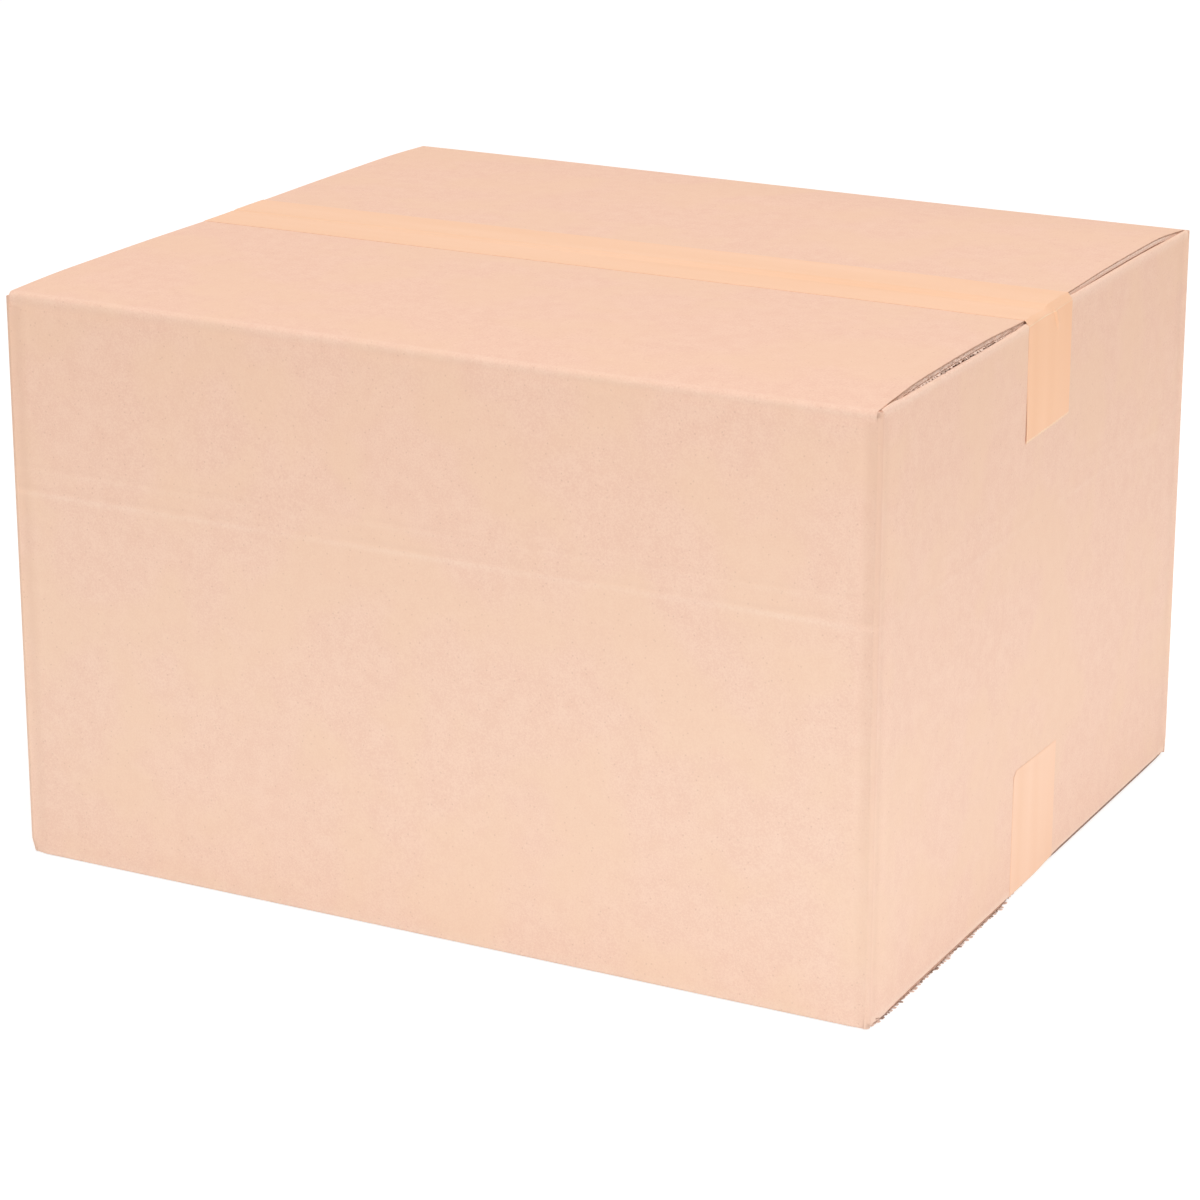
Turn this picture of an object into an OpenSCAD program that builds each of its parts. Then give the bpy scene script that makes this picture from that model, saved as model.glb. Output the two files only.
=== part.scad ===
// Closed shipping carton: one folded blank of corrugated board, held shut by one
// strip of tape over the top seam and another over the bottom seam.
// X runs along the length, Y along the width and Z up. The origin is the middle
// of the footprint, at the outer face of the closed bottom flaps.

/* [Carton] */
// Outside length, over the two end panels
carton_l = 410; // [385:1:600]
// Outside width, over the front and back panels
carton_w = 354; // [240:1:375]
// Outside height, over the closed flaps at their folds
carton_h = 260; // [200:1:420]

/* [Board] */
// Thickness of the corrugated board
board_t = 3.0; // [2.4:0.1:4.0]
// Thickness of each liner, as a raw edge shows it
liner_t = 0.4; // [0.25:0.05:0.6]
// Thickness of the fluted sheet between the liners
medium_t = 0.35; // [0.2:0.05:0.5]
// Length of raw edge over which a cut drifts from one liner to the other
drift_l = 24; // [16:1:40]
// Depth of the open flute behind a raw edge
flute_depth = 2.6; // [1:0.1:4]

/* [Folds] */
// Outside radius of the folds between panels and flaps
fold_r = 3.0; // [2.4:0.1:4.5]
// Outside radius of the four upright folds
corner_r = 2.2; // [1.4:0.1:4]
// Distance of the pressed score line below a fold's outer face
score_drop = 4.6; // [4:0.1:8]
// Width of the score line
score_w = 1.8; // [1:0.1:3]
// Depth of the score line
score_d = 0.3; // [0.1:0.05:0.5]
// Width of the flattened band on each side of an upright fold
band_w = 6.4; // [4:0.2:10]
// Depth of that band
band_d = 0.4; // [0.1:0.05:0.6]

/* [Flaps] */
// Width of the slots that part the flaps at the corners
slot_w = 4.4; // [3:0.1:7]
// Gap between the two outer flaps at the seam
seam_gap = 1.6; // [0.8:0.1:4]
// Air between an inner flap and the outer flaps on it
ply_gap = 0.4; // [0.3:0.05:1]
// Play between the inner flaps and the front and back panels
side_play = 0.6; // [0.3:0.1:2]
// How far the front top flap springs up between its fold and the tape
front_bow = 1.0; // [0.4:0.1:2.5]
// How far the back top flap springs up
back_bow = 1.5; // [0.4:0.1:2.5]
// How far the bottom flaps are drawn in under the tape
seam_dish = 0.25; // [0.2:0.01:0.35]

/* [Glued joint] */
// Width of the glue tab inside the back panel
tab_w = 36; // [25:1:50]
// Taper at each end of the glue tab
tab_taper = 12; // [4:1:25]
// Distance of the back panel's raw edge from the turned-in fold
joint_gap = 0.4; // [0.2:0.1:3]

/* [Press lines] */
// Distance of the upper press line from the top
press_drop_1 = 78; // [60:1:82]
// Distance of the lower press line from the top
press_drop_2 = 88; // [86:1:110]
// Width of a press line
press_w = 2.6; // [1.5:0.1:4]
// Depth of a press line
press_d = 0.22; // [0.1:0.02:0.4]

/* [Tape] */
// Width of the tape
tape_w = 50; // [36:1:75]
// Thickness of the tape with its adhesive
tape_t = 0.15; // [0.1:0.01:0.18]
// Length of the top strip's tail on each end panel
top_tail = 53; // [30:1:70]
// Length of the bottom strip's tail on each end panel
bottom_tail = 59; // [30:1:80]

/* [Hidden] */
$fn = 96;

board_colour = "#E9C3A4";
tape_colour = "#F3C9A0";

// Overlap that makes a cut or a joint of two solids clean
eps = 1;
// Steps along the curve of a bowed flap
bow_steps = 12;
// Width over which a bottom flap slopes in towards the tape
dish_run = 8;

// All flaps are cut to one length: half the width, less half the seam
flap_reach = (carton_w - seam_gap) / 2;
// A major flap ends here along the length
flap_end = (carton_l - slot_w) / 2;
// The minor flaps lie one board and one gap under the major flaps
minor_drop = board_t + ply_gap;
// The sleeve of four panels ends where the minor flaps' folds begin
sleeve_drop = minor_drop + fold_r;
minor_w = carton_w - 2 * (board_t + side_play);
// Where the back panel's raw edge lies, from the left end panel's face
joint_x = corner_r + joint_gap;
// Where a bowed flap comes down on the tape, from its own panel's face
bow_end = (carton_w - tape_w) / 2 - 3;
dish_end = (carton_w - tape_w) / 2 - 1;

// Radius of a groove of a given width and depth
function groove_r(w, d) = (w * w / 4 + d * d) / (2 * d);

// Rise of a bowed flap at the distance u from its panel's face
function bow_rise(u, bow) =
    let (s = (u - fold_r) / (bow_end - fold_r))
    s <= 0 || s >= 1 ? 0 : bow * sin(180 * s);

// Dip of a flap's outer face towards the tape
function dish_dip(u, dish) =
    dish * min(1, max(0, (u - dish_end + dish_run) / dish_run));

// Stations across a flap, from its fold to the seam
function stations(bow, dish) = concat(
    bow > 0 ? [for (i = [0:bow_steps]) fold_r + (bow_end - fold_r) * i / bow_steps] : [fold_r],
    dish > 0 ? [dish_end - dish_run, dish_end] : [],
    [flap_reach]);

// Flat section of a flap: its outer face is at v = 0 and its fold is near u = 0
module flap_section(bow, dish) {
    us = stations(bow, dish);
    last = len(us) - 1;
    polygon(concat(
        [for (u = us) [u, bow_rise(u, bow) - dish_dip(u, dish)]],
        [for (i = [last:-1:0]) [us[i], bow_rise(us[i], bow) - board_t]]));
}

// Section of a panel's end, its fold and the closed flap behind it
module folded_section(drop, bow, dish) {
    translate([0, -drop]) square([board_t, drop - fold_r]);
    difference() {
        intersection() {
            translate([fold_r, -fold_r]) circle(r = fold_r);
            translate([0, -fold_r]) square(fold_r);
        }
        translate([board_t, -fold_r - eps]) square([fold_r, fold_r + eps - board_t]);
    }
    flap_section(bow, dish);
}

// Open flutes of a raw edge cut nearly along a flute. The medium zigzags between
// the liners, which leaves a flat triangular pocket over or under each turn
module flute_pockets(from, to, bow) {
    cells = max(2, round((to - from) / drift_l));
    cell = (to - from) / cells;
    low = liner_t - board_t;
    high = -liner_t;
    run = cell * (1 - medium_t / 2 / (high - low));
    for (i = [1:cells - 1]) {
        u = from + cell * i;
        over = i % 2 == 0;
        base = over ? high : low;
        turn = over ? low + medium_t / 2 : high - medium_t / 2;
        polygon([
            [u - run, base + bow_rise(u - run, bow)],
            [u, base + bow_rise(u, bow)],
            [u + run, base + bow_rise(u + run, bow)],
            [u, turn + bow_rise(u, bow)]]);
    }
}

// Lays a flat section across the length: u becomes Y and v becomes Z
module along_length(l) rotate([90, 0, 90]) linear_extrude(l, center = true) children();

// Lays a flat section across the width: u becomes X and v becomes Z
module along_width(w) rotate([90, 0, 0]) linear_extrude(w, center = true) children();

// A major flap with its fold and the end of its panel
module major_flap(bow, dish) {
    difference() {
        translate([0, -carton_w / 2, 0])
            along_length(2 * flap_end) folded_section(sleeve_drop + eps, bow, dish);
        for (side = [-1, 1])
            translate([side * flap_end, -carton_w / 2, 0])
                along_length(2 * flute_depth)
                    flute_pockets(fold_r + 1, flap_reach - 1, bow);
    }
}

// A minor flap with its fold and the end of its panel
module minor_flap() {
    translate([-carton_l / 2, 0, -minor_drop])
        along_width(minor_w) folded_section(fold_r + eps, 0, 0);
}

// All four flaps that close one mouth of the sleeve, at z = 0
module closure(front, back, dish) {
    major_flap(front, dish);
    mirror([0, 1, 0]) major_flap(back, dish);
    minor_flap();
    mirror([1, 0, 0]) minor_flap();
}

module rounded_oblong(l, w, r) {
    square([l - 2 * r, w], center = true);
    square([l, w - 2 * r], center = true);
    for (x = [-1, 1], y = [-1, 1])
        translate([x * (l / 2 - r), y * (w / 2 - r)]) circle(r = r);
}

// Section of the sleeve. Its back left corner is the glued joint, where the end
// panel turns in under the raw edge of the back panel
module sleeve_section() {
    difference() {
        rounded_oblong(carton_l, carton_w, corner_r);
        square([carton_l - 2 * board_t, carton_w - 2 * board_t], center = true);
        translate([-carton_l / 2 - eps, carton_w / 2 - board_t])
            square([joint_x + eps, board_t + eps]);
        translate([-carton_l / 2, carton_w / 2 - board_t]) difference() {
            translate([-eps, -corner_r]) square([corner_r + eps, corner_r]);
            translate([corner_r, -corner_r]) circle(r = corner_r);
        }
    }
}

// The glue tab, flat on the inside of the back panel
module glue_tab() {
    low = sleeve_drop;
    high = carton_h - sleeve_drop;
    translate([0, carton_w / 2 - board_t - board_t / 2, 0])
        along_width(board_t) translate([-carton_l / 2 + corner_r, 0]) polygon([
            [0, low], [tab_w - corner_r, low + tab_taper],
            [tab_w - corner_r, high - tab_taper], [0, high]]);
}

module sleeve() {
    difference() {
        translate([0, 0, sleeve_drop])
            linear_extrude(carton_h - 2 * sleeve_drop) sleeve_section();
        // Open flutes of the back panel's raw edge at the glued joint
        translate([-carton_l / 2 + joint_x, carton_w / 2, 0])
            rotate([0, 0, 90]) along_width(2 * flute_depth)
                mirror([1, -1, 0]) flute_pockets(sleeve_drop + 1, carton_h - sleeve_drop - 1, 0);
    }
    glue_tab();
}

// A long groove pressed into the outside of the front and back panels
module groove_across_length(z, w, d) {
    r = groove_r(w, d);
    for (side = [-1, 1])
        translate([0, side * (carton_w / 2 + r - d), z])
            rotate([0, 90, 0]) cylinder(r = r, h = carton_l + 2 * eps, center = true);
}

// The same on the two end panels
module groove_across_width(z, w, d) {
    r = groove_r(w, d);
    for (side = [-1, 1])
        translate([side * (carton_l / 2 + r - d), 0, z])
            rotate([90, 0, 0]) cylinder(r = r, h = carton_w + 2 * eps, center = true);
}

// Flattened bands on each side of the four upright folds
module fold_bands() {
    r = groove_r(band_w, band_d);
    in = corner_r + band_w / 2;
    for (x = [-1, 1], y = [-1, 1]) {
        translate([x * (carton_l / 2 + r - band_d), y * (carton_w / 2 - in), -eps])
            cylinder(r = r, h = carton_h + 2 * eps);
        translate([x * (carton_l / 2 - in), y * (carton_w / 2 + r - band_d), -eps])
            cylinder(r = r, h = carton_h + 2 * eps);
    }
}

module carton() {
    color(board_colour) difference() {
        union() {
            sleeve();
            translate([0, 0, carton_h]) closure(front_bow, back_bow, 0);
            mirror([0, 0, 1]) closure(0, 0, seam_dish);
        }
        fold_bands();
        for (z = [score_drop, carton_h - score_drop])
            groove_across_length(z, score_w, score_d);
        for (z = [carton_h - press_drop_1, carton_h - press_drop_2]) {
            groove_across_length(z, press_w, press_d);
            groove_across_width(z, press_w, press_d);
        }
    }
}

// Half of the room under a strip of tape, w wide and grown by g: along the flaps,
// over their raw edge, round the minor flap's fold and down the end panel
module half_under_tape(top, tail, w, g) {
    r = fold_r + g;
    centre = [carton_l / 2 - fold_r, -sleeve_drop];
    corner = [flap_end + g / 2, top + g];
    away = corner - centre;
    turn = atan2(away[1], away[0]) - acos(r / norm(away));
    touch = centre + r * [cos(turn), sin(turn)];
    foot = [carton_l / 2 + g, -tail];
    along_width(w)
        polygon([[0, foot[1]], [0, corner[1]], corner, touch, centre, [foot[0], centre[1]], foot]);
    translate([centre[0], 0, centre[1]])
        rotate([90, 0, 0]) cylinder(r = r, h = w, center = true);
}

module under_tape(top, tail, w, g) {
    half_under_tape(top, tail, w, g);
    mirror([1, 0, 0]) half_under_tape(top, tail, w, g);
}

// A strip of tape over a closed seam at z = top, with a tail on each end panel
module tape(top, tail) {
    difference() {
        union() under_tape(top, tail, tape_w, tape_t);
        under_tape(top, tail + eps, tape_w + 2 * eps, 0);
    }
}

module top_tape() {
    color(tape_colour) translate([0, 0, carton_h]) tape(0, top_tail);
}

module bottom_tape() {
    color(tape_colour) mirror([0, 0, 1]) tape(-seam_dish, bottom_tail);
}

carton();
top_tape();
bottom_tape();
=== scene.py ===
# %% [markdown]
# # A closed cardboard box
# The object is a slotted shipping carton, folded from one sheet of corrugated
# board and held shut by a strip of tape over each seam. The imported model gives
# the true sizes, so it is loaded first and every later size starts from it.

# %% Frame
import math

import bmesh
import bpy
import mathutils
import numpy as np
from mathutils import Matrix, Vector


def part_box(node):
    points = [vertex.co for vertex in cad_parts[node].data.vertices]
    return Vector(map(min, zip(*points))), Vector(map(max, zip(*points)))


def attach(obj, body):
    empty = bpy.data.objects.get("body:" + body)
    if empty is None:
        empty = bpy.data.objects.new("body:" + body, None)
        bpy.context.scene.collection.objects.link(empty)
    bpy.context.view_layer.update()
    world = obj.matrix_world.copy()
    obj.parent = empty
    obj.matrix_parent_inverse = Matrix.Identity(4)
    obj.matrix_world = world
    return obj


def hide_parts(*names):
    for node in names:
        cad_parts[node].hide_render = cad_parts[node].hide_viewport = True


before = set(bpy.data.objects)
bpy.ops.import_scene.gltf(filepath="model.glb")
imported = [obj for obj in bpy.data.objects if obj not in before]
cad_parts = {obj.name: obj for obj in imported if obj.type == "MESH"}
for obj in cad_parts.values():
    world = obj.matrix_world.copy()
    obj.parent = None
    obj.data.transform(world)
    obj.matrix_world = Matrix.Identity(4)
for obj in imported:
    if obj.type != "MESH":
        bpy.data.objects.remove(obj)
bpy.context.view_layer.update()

MM = 0.001
carton_low, carton_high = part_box("carton")
top_tape_low, top_tape_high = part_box("top_tape")
bottom_tape_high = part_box("bottom_tape")[1]
print("carton, metres:", [round(v, 4) for v in carton_high - carton_low])

# %% [markdown]
# ## The camera
# A long lens from a few steps away keeps the upright edges nearly parallel, as
# in a product picture. The place and turn come from fitting the seven corners
# that show. The small shift lowers the box in the square frame.

# %% Camera
CAMERA_PLACE = (0.750, -1.448, 0.640)
CAMERA_YAW = 27.67
CAMERA_PITCH = -17.26
CAMERA_LENS = 112.67
SENSOR_WIDTH = 36
CAMERA_SHIFT = -0.06


def add_object(name, data):
    """Makes an object of the data and links it to the scene."""
    thing = bpy.data.objects.new(name, data)
    bpy.context.scene.collection.objects.link(thing)
    return thing


camera_data = bpy.data.cameras.new("camera")
camera_data.lens = CAMERA_LENS
camera_data.sensor_width = SENSOR_WIDTH
camera_data.shift_y = CAMERA_SHIFT
camera = add_object("camera", camera_data)
camera.location = CAMERA_PLACE
camera.rotation_euler = (math.radians(90 + CAMERA_PITCH), 0, math.radians(CAMERA_YAW))
bpy.context.scene.camera = camera
print("camera", CAMERA_PLACE, "lens", CAMERA_LENS)

# %% [markdown]
# ## Sizes of the board
# The board is single wall: two flat liners with a wavy medium between them. Both
# are drawn about twice as thick as real paper, which would be too fine to show. A
# fold presses the board thin, so its outside is a tight roll with a dip beside
# it. All lengths here are metres, written as millimetres times MM.

# %% Board sizes
LENGTH = carton_high.x - carton_low.x
WIDTH = carton_high.y - carton_low.y
BOARD = 3.0 * MM
LINER = 0.6 * MM
MEDIUM = 0.3 * MM
FLUTE_PITCH = 6.4 * MM
TAPE = 0.15 * MM
SEAM_TOP = top_tape_high.z - TAPE
CORNER_R = 2.2 * MM
INSIDE_R = 0.4 * MM
ROOT = 6.4 * MM
SLOT = 0.3 * MM
SEAM_GAP = 1.6 * MM
REACH = (WIDTH - SEAM_GAP) / 2
JOINT_X = 2.6 * MM
TAB_W = 36 * MM
TAB_TAPER = 12 * MM
STEP = 7 * MM
print("board", BOARD, "flap reach", round(REACH, 4))

# %% [markdown]
# ## Helpers for surfaces
# Every piece is one or more grids of points, worked out as whole arrays. A grid
# becomes quads by numbering its points row by row. Grids that meet are welded
# at their common border, and the closed shell then has its normals turned out.

# %% Surface helpers
def spread(start, stop, step, fine=()):
    """Stations from start to stop about one step apart, and closer together round
    each (place, reach, small step) in fine. A later entry wins over an earlier."""
    stations = np.linspace(start, stop, max(2, round((stop - start) / step) + 1))
    for place, reach, small in fine:
        stations = stations[np.abs(stations - place) > reach + small / 2]
        count = round(reach / small)
        stations = np.append(stations, place + small * np.arange(-count, count + 1))
    stations = np.unique(np.round(np.append(stations, (start, stop)), 7))
    return stations[(stations >= start - 1e-6) & (stations <= stop + 1e-6)]


def bell(x, centre, width):
    """A smooth hump: e to the power of minus the square of (x - centre) / width."""
    return np.exp(-((x - centre) / width) ** 2)


def ramp(x, start, stop):
    """0 before start and 1 after stop, with a cubic S between them."""
    t = np.clip((x - start) / (stop - start), 0, 1)
    return t * t * (3 - 2 * t)


def wander(x, seed, wavelength):
    """A slow uneven wave between about -1 and 1: three sines whose lengths don't
    divide each other, started at places that the seed gives."""
    start = np.random.default_rng(seed).uniform(0, 2 * np.pi, 3)
    turns = 2 * np.pi * x / wavelength
    return (np.sin(turns + start[0]) + 0.6 * np.sin(1.71 * turns + start[1])
            + 0.4 * np.sin(2.93 * turns + start[2])) / 1.6


def run_along(line):
    """Distance of each point from the first one, along a line of points."""
    steps = np.linalg.norm(np.diff(line, axis=0), axis=1)
    return np.concatenate([[0], np.cumsum(steps)])


def grid_normals(points):
    """Normals of a grid: the cross product of its two directions."""
    normal = np.cross(np.gradient(points, axis=0), np.gradient(points, axis=1))
    return normal / np.linalg.norm(normal, axis=-1, keepdims=True)


class Shell:
    """Collects grids of points with their finish and two values per point: the
    distance across the flutes and how much the place is worn, to which painted
    highlight and painted shade are added."""

    def __init__(self):
        self.grids, self.count = [], 0

    def grid(self, points, finish=0, across=0.0, wear=0.0):
        """Adds a grid, as quads between its neighbouring points."""
        rows, cols = points.shape[:2]
        index = self.count + np.arange(rows * cols).reshape(rows, cols)
        quads = np.stack([index[:-1, :-1], index[:-1, 1:], index[1:, 1:], index[1:, :-1]], -1)
        finish = np.broadcast_to(finish, (rows - 1, cols - 1)).ravel()
        across, wear = (np.broadcast_to(v, (rows, cols)).ravel() for v in (across, wear))
        self.grids.append((points.reshape(-1, 3), quads.reshape(-1, 4), finish, across, wear))
        self.count += rows * cols

    def sheet(self, middle, normal, over, under, **values):
        """A thin closed sheet: the grid moved out by over and in by under along
        its normals, with a strip along each of its four sides."""
        top, low = middle + normal * over, middle - normal * under
        self.grid(top, **values)
        self.grid(low, **values)
        for side in (np.s_[0], np.s_[-1], np.s_[:, 0], np.s_[:, -1]):
            self.grid(np.stack([top[side], low[side]]))

    def build(self, name, materials, weld=2e-6, sharp=38):
        """Makes the mesh object, welds the borders and turns the faces out."""
        mesh = bpy.data.meshes.new(name)
        points, quads, finish, across, wear = map(np.concatenate, zip(*self.grids))
        mesh.vertices.add(len(points))
        mesh.vertices.foreach_set("co", points.astype(np.float32).ravel())
        mesh.loops.add(quads.size)
        mesh.loops.foreach_set("vertex_index", quads.astype(np.int32).ravel())
        mesh.polygons.add(len(quads))
        mesh.polygons.foreach_set("loop_start", np.arange(0, quads.size, 4, dtype=np.int32))
        mesh.polygons.foreach_set("material_index", finish.astype(np.int32))
        mesh.update(calc_edges=True)
        for label, values in (("across", across), ("wear", wear)):
            layer = mesh.attributes.new(label, "FLOAT", "POINT")
            layer.data.foreach_set("value", values.astype(np.float32))
        work = bmesh.new()
        work.from_mesh(mesh)
        bmesh.ops.remove_doubles(work, verts=work.verts, dist=weld)
        bmesh.ops.dissolve_degenerate(work, edges=work.edges, dist=1e-7)
        bmesh.ops.recalc_face_normals(work, faces=work.faces)
        open_edges = sum(len(e.link_faces) != 2 for e in work.edges)
        work.to_mesh(mesh)
        work.free()
        mesh.polygons.foreach_set("use_smooth", np.ones(len(mesh.polygons), bool))
        mesh.set_sharp_from_angle(angle=math.radians(sharp))
        for material in materials:
            mesh.materials.append(material)
        triangles = sum(len(p.vertices) - 2 for p in mesh.polygons)
        print(name, "triangles", triangles, "open edges", open_edges)
        return add_object(name, mesh)


# %% [markdown]
# ## Colours and nodes
# Colours are written as sRGB hex, as a colour picker shows them, and turned to
# linear light by the standard curve. One helper adds a node with its settings
# and links, so a material reads as a short list of steps.

# %% Colour and node helpers
def colour(code):
    """Turns a hex sRGB colour to linear: below 0.04045 it is divided by 12.92,
    and above that it is ((c + 0.055) / 1.055) to the power of 2.4."""
    c = np.array([int(code[i:i + 2], 16) / 255 for i in (1, 3, 5)])
    linear = np.where(c <= 0.04045, c / 12.92, ((c + 0.055) / 1.055) ** 2.4)
    return (*linear, 1.0)


def add(tree, kind, inputs=None, **settings):
    """Adds one node, by its kind without ShaderNode in front. A socket given as an
    input is linked, a node gives its first output in use, and a value is set."""
    node = tree.nodes.new("ShaderNode" + kind)
    for name, value in settings.items():
        setattr(node, name, value)
    for socket, value in (inputs or {}).items():
        if isinstance(value, bpy.types.Node):
            value = next(output for output in value.outputs if output.enabled)
        if isinstance(value, bpy.types.NodeSocket):
            tree.links.new(value, node.inputs[socket])
        else:
            node.inputs[socket].default_value = value
    return node


def new_material(name):
    """A material whose node tree is still empty, and that tree."""
    material = bpy.data.materials.new(name)
    material.use_nodes = True
    material.node_tree.nodes.clear()
    return material, material.node_tree


# %% [markdown]
# ## Kraft liner
# The outside of the board is kraft liner, a strong unbleached paper. It is matt,
# slightly mottled where the pulp lay thicker, and has fine fibres and a few dark
# specks of bark. The flutes show through as very faint ribs. Where a fold rubs,
# the fibres rise and the paper goes paler, and the rolls of the folds are made
# paler still as a painted highlight. Painted shade darkens the bands beside the
# upright folds, their rolls and the grooves of the press lines, with a painted
# highlight beside those grooves.

# %% Kraft liner material
LINER_COLOUR = "#F7D4BF"
LINER_THIN = "#F1CAB5"
LINER_WARM = "#F5D2B7"
# Pale tone of rubbed folds, also used as a painted highlight on the rolls.
LINER_PALE = "#FFE8D8"
# Painted shade: the darker tone beside and on the folds and in the press line grooves.
LINER_SHADE = "#E6BFA8"
SPECK_COLOUR = "#BE8F74"
CLOUD_SIZE = 7 * MM
FIBRE_SIZE = 0.8 * MM
SPECK_SPACING = 3.2 * MM
HUE_SIZE = 45 * MM
RIB_HEIGHT = 0.02 * MM
FIBRE_HEIGHT = 0.06 * MM


def kraft_liner():
    """Mottled paper: clouds and fibres mix two close tones, specks darken it, and
    the wear value makes worn folds and painted highlights paler and painted shade
    darker. The bump is fibre plus the ribs of the flutes."""
    material, tree = new_material("kraft_liner")
    place = add(tree, "TexCoord").outputs["Object"]
    clouds, fibres, hues = (
        add(tree, "TexNoise", {"Vector": place, "Scale": 1 / size, "Detail": detail,
                               "Roughness": rough})
        for size, detail, rough in ((CLOUD_SIZE, 3.0, 0.65), (FIBRE_SIZE, 2.0, 0.7),
                                    (HUE_SIZE, 2.0, 0.5)))
    both = add(tree, "Math", {0: clouds, 1: 0.5, 2: fibres}, operation="MULTIPLY_ADD")
    mottle = add(tree, "MapRange", {"Value": both, "From Min": 0.61, "From Max": 0.89})
    warmth = add(tree, "MapRange", {"Value": hues, "From Min": 0.45, "From Max": 0.6,
                                    "To Max": 0.5})
    cells = add(tree, "TexVoronoi", {"Vector": place, "Scale": 1 / SPECK_SPACING})
    spot = add(tree, "MapRange", {"Value": cells, "From Min": 0.03, "From Max": 0.16,
                                  "To Min": 0.3, "To Max": 0.0})
    rare = add(tree, "Math", {0: cells.outputs["Color"], 1: 0.45}, operation="GREATER_THAN")
    specks = add(tree, "Math", {0: spot, 1: rare}, operation="MULTIPLY")
    wear = add(tree, "Attribute", attribute_name="wear").outputs["Fac"]
    # Positive wear mixes in the pale tone of rubbed folds and painted highlight, negative wear
    # the darker tone of painted shade.
    wear_and_highlight, pressed = (add(tree, "Math", {0: wear, 1: by}, operation="MULTIPLY", use_clamp=True)
                       for by in (fibres, -1.0))
    paper = colour(LINER_THIN)
    for share, tone in ((mottle, LINER_COLOUR), (warmth, LINER_WARM), (specks, SPECK_COLOUR),
                        (wear_and_highlight, LINER_PALE), (pressed, LINER_SHADE)):
        paper = add(tree, "Mix", {"Factor": share, 6: paper, 7: colour(tone)}, data_type="RGBA")
    across = add(tree, "Attribute", attribute_name="across").outputs["Fac"]
    turns = add(tree, "Math", {0: across, 1: 2 * math.pi / FLUTE_PITCH}, operation="MULTIPLY")
    ribs = add(tree, "Math", {0: turns}, operation="SINE")
    bump = add(tree, "Bump", {"Height": ribs, "Strength": 1.0, "Distance": RIB_HEIGHT})
    bump = add(tree, "Bump", {"Height": fibres, "Strength": 0.5, "Distance": FIBRE_HEIGHT,
                              "Normal": bump})
    shader = add(tree, "BsdfPrincipled", {"Base Color": paper, "Roughness": 0.88,
                                          "Specular IOR Level": 0.25, "Normal": bump})
    add(tree, "OutputMaterial", {"Surface": shader})
    return material


liner_finish = kraft_liner()
print("material", liner_finish.name)

# %% [markdown]
# ## Cut board and medium
# A knife leaves the cut edge of the board darker than its faces: the paper is
# seen end on, with glue and shade between its layers. The medium is a thinner,
# greyer paper, so it has its own tone.

# %% Cut edge materials
CUT_TONES = {"cut_board_edge": ("#AD8773", "#CFAB97"), "fluted_medium": ("#F0D2C1", "#FFEBE0")}
# Painted shade: the dark tone of the splits, the shaded fringe teeth and the back flap's bottom
# edges.
SPLIT_SHADE_COLOUR = "#6F5142"
GRIT_SIZE = 0.7 * MM
GRIT_HEIGHT = 0.1 * MM


def cut_paper(name, dark, light):
    """Rough paper seen at its cut: a coarse noise mixes a dark and a light tone,
    and painted shade makes the splits between torn strips darker still."""
    material, tree = new_material(name)
    place = add(tree, "TexCoord").outputs["Object"]
    grit = add(tree, "TexNoise", {"Vector": place, "Scale": 1 / GRIT_SIZE, "Detail": 3.0,
                                  "Roughness": 0.7})
    grain = add(tree, "MapRange", {"Value": grit, "From Min": 0.35, "From Max": 0.65})
    split = add(tree, "Attribute", attribute_name="wear").outputs["Fac"]
    paper = colour(dark)
    for share, tone in ((grain, light), (split, SPLIT_SHADE_COLOUR)):
        paper = add(tree, "Mix", {"Factor": share, 6: paper, 7: colour(tone)}, data_type="RGBA")
    bump = add(tree, "Bump", {"Height": grit, "Strength": 0.6, "Distance": GRIT_HEIGHT})
    shader = add(tree, "BsdfPrincipled", {"Base Color": paper, "Roughness": 0.92,
                                          "Specular IOR Level": 0.2, "Normal": bump})
    add(tree, "OutputMaterial", {"Surface": shader})
    return material


cut_finish, medium_finish = (cut_paper(name, *tones) for name, tones in CUT_TONES.items())
print("materials", cut_finish.name, medium_finish.name)

# %% [markdown]
# ## Packing tape
# The tape is smooth and a little warmer than the board. It was drawn off a roll,
# so its faint streaks run along it, and it has a soft sheen. Where it was torn
# off its fibres show as a thin pale line, and the same pale tone is a painted
# highlight where it bends over the roll of a fold. On the top strip the tails are
# a darker copy of the tape, painted shade against the sheen of its top, and near
# the floor it is rubbed a shade paler.

# %% Tape material
# The torn end tone is also the painted highlight on the roll, and the tail tone is a darker
# copy of the tape, painted shade.
TAPE_TONES = {"packing_tape": ("#F7C9A5", "#FACEAD"), "torn_end_and_roll_highlight": ("#FACEAD", "#FFDFC0"),
              "tape_tail_painted_shade": ("#FAC69E", "#FDCBA5"), "rubbed_tape": ("#F8CBAB", "#FBD1B4")}
STREAK_WIDTH = 13 * MM
STREAK_LENGTH = 160 * MM
SHEEN_SIZE = 1.2 * MM
GRAIN_HEIGHT = 0.02 * MM


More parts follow.
